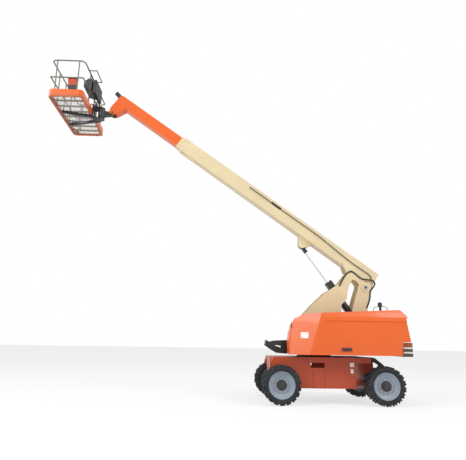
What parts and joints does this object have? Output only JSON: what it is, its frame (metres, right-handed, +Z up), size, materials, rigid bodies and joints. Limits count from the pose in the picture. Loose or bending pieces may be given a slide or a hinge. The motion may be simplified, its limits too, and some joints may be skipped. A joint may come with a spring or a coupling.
{
  "type": "telescopic boom lift",
  "caption": "Four-wheeled telescopic boom lift with a raised upright, telescoping boom, levelled and turning work platform, swinging turntable and steered front wheels.",
  "frame": {"origin": "on the ground under the middle of the whole machine, boom as stored", "axes": "+Z up, +X towards the counterweight and the steered axle, the boom reaches to -X"},
  "size_m": [9.647, 2.49, 8.8245],
  "materials": {
    "tyre": "moulded rubber",
    "rim_paint": "gloss",
    "chassis_paint": "gloss",
    "shell_orange": "gloss gelcoat",
    "boom_orange": "gloss",
    "cream_paint": "gloss",
    "black_steel": "satin",
    "chrome_rod": "polished",
    "pin_steel": "zinc plated",
    "counterweight_paint": "painted casting",
    "engine_black": "plain",
    "rail_grey": "satin",
    "floor_grey": "satin",
    "console_black": "textured"
  },
  "bodies": {
    "chassis": {"chassis_frame": "chassis_paint", "deck_guard": "floor_grey", "drive_axle": "black_steel", "steer_axle": "black_steel", "steer_cylinder": "black_steel", "swing_bearing": "black_steel"},
    "turntable": {"turntable_frame": "chassis_paint", "upright": "cream_paint", "boom_pivot_pin": "pin_steel", "counterweight": "counterweight_paint", "engine_block": "engine_black", "hydraulic_tank": "engine_black", "boom_rest": "black_steel", "inner_panels": "engine_black"},
    "hood_right": {"hood_right": "shell_orange", "beacon": "console_black"},
    "hood_left": {"hood_left": "shell_orange"},
    "base_boom": {"base_boom": "cream_paint"},
    "mid_boom": {"mid_boom": "cream_paint"},
    "fly_boom": {"fly_boom": "boom_orange", "tip_guard": "console_black"},
    "lift_barrel": {"lift_cylinder_barrel": "black_steel"},
    "lift_rod": {"lift_cylinder_rod": "chrome_rod"},
    "platform_support": {"platform_support": "black_steel"},
    "platform": {"platform_bracket": "black_steel", "platform_floor": "floor_grey", "toe_boards": "boom_orange", "platform_rails": "rail_grey", "platform_console": "console_black", "document_box": "shell_orange"},
    "gate": {"gate": "rail_grey"},
    "knuckle_right": {"knuckle_right": "black_steel"},
    "knuckle_left": {"knuckle_left": "black_steel"},
    "steer_rod": {"steer_rod": "chrome_rod"},
    "wheel_rear_right": {"tyre_rear_right": "tyre", "rim_rear_right": "rim_paint"},
    "wheel_front_right": {"tyre_front_right": "tyre", "rim_front_right": "rim_paint"},
    "wheel_rear_left": {"tyre_rear_left": "tyre", "rim_rear_left": "rim_paint"},
    "wheel_front_left": {"tyre_front_left": "tyre", "rim_front_left": "rim_paint"}
  },
  "joints": [
    {"name": "wheel_rear_right_spin", "type": "hinge", "parent": "chassis", "child": "wheel_rear_right", "pos_m": [1.3635, -1.066, 0.457], "axis": [0, 1, 0], "continuous": true},
    {"name": "wheel_front_right_spin", "type": "hinge", "parent": "knuckle_right", "child": "wheel_front_right", "pos_m": [3.8435, -1.066, 0.457], "axis": [0, 1, 0], "continuous": true},
    {"name": "steer_right", "type": "hinge", "parent": "chassis", "child": "knuckle_right", "pos_m": [3.8435, -0.77, 0.457], "axis": [0, 0, 1], "range_deg": [-35, 35]},
    {"name": "wheel_rear_left_spin", "type": "hinge", "parent": "chassis", "child": "wheel_rear_left", "pos_m": [1.3635, 1.066, 0.457], "axis": [0, 1, 0], "continuous": true},
    {"name": "wheel_front_left_spin", "type": "hinge", "parent": "knuckle_left", "child": "wheel_front_left", "pos_m": [3.8435, 1.066, 0.457], "axis": [0, 1, 0], "continuous": true},
    {"name": "steer_left", "type": "hinge", "parent": "chassis", "child": "knuckle_left", "pos_m": [3.8435, 0.77, 0.457], "axis": [0, 0, 1], "range_deg": [-35, 35]},
    {"name": "steer_rod_slide", "type": "slide", "parent": "chassis", "child": "steer_rod", "axis": [0, 1, 0], "range_m": [-0.12, 0.12]},
    {"name": "swing", "type": "hinge", "parent": "chassis", "child": "turntable", "pos_m": [2.3735, 0, 1.164], "axis": [0, 0, 1], "continuous": true},
    {"name": "hood_right_open", "type": "hinge", "parent": "turntable", "child": "hood_right", "pos_m": [3.0485, -0.484, 2.135], "axis": [-1, 0, 0], "range_deg": [0, 55]},
    {"name": "hood_left_open", "type": "hinge", "parent": "turntable", "child": "hood_left", "pos_m": [3.151, 0.484, 2.135], "axis": [1, 0, 0], "range_deg": [0, 55]},
    {"name": "boom_lift", "type": "hinge", "parent": "turntable", "child": "base_boom", "pos_m": [3.7745, 0, 2.899], "axis": [0, 1, 0], "range_deg": [-35.6, 36.4]},
    {"name": "mid_extend", "type": "slide", "parent": "base_boom", "child": "mid_boom", "axis": [-0.8131, 0, 0.5821], "range_m": [0, 4]},
    {"name": "fly_extend", "type": "slide", "parent": "mid_boom", "child": "fly_boom", "axis": [-0.8131, 0, 0.5821], "range_m": [0, 4]},
    {"name": "lift_barrel_swing", "type": "hinge", "parent": "turntable", "child": "lift_barrel", "pos_m": [3.7335, 0, 1.75], "axis": [0, 1, 0], "range_deg": [-24.53, 25.07]},
    {"name": "lift_rod_slide", "type": "slide", "parent": "lift_barrel", "child": "lift_rod", "axis": [-0.5782, 0, 0.8159], "range_m": [-0.4277, 0.4372]},
    {"name": "platform_level", "type": "hinge", "parent": "fly_boom", "child": "platform_support", "pos_m": [-3.3535, 0, 7.854], "axis": [0, 1, 0], "range_deg": [-36.6, 35.8]},
    {"name": "platform_rotate", "type": "hinge", "parent": "platform_support", "child": "platform", "pos_m": [-3.6865, 0, 7.85], "axis": [0, 0, 1], "range_deg": [-90, 90]},
    {"name": "gate_swing", "type": "hinge", "parent": "platform", "child": "gate", "pos_m": [-4.6415, 1.197, 8], "axis": [0, 0, 1], "range_deg": [-90, 0]}
  ],
  "couplings": [
    {"joint": "steer_left", "follows": "steer_right", "ratio": 1},
    {"joint": "steer_rod_slide", "follows": "steer_right", "m_per_rad": -0.19},
    {"joint": "fly_extend", "follows": "mid_extend", "ratio": 1},
    {"joint": "lift_barrel_swing", "follows": "boom_lift", "ratio": 0.6805},
    {"joint": "lift_rod_slide", "follows": "boom_lift", "m_per_rad": 0.6803},
    {"joint": "platform_level", "follows": "boom_lift", "ratio": -1}
  ]
}
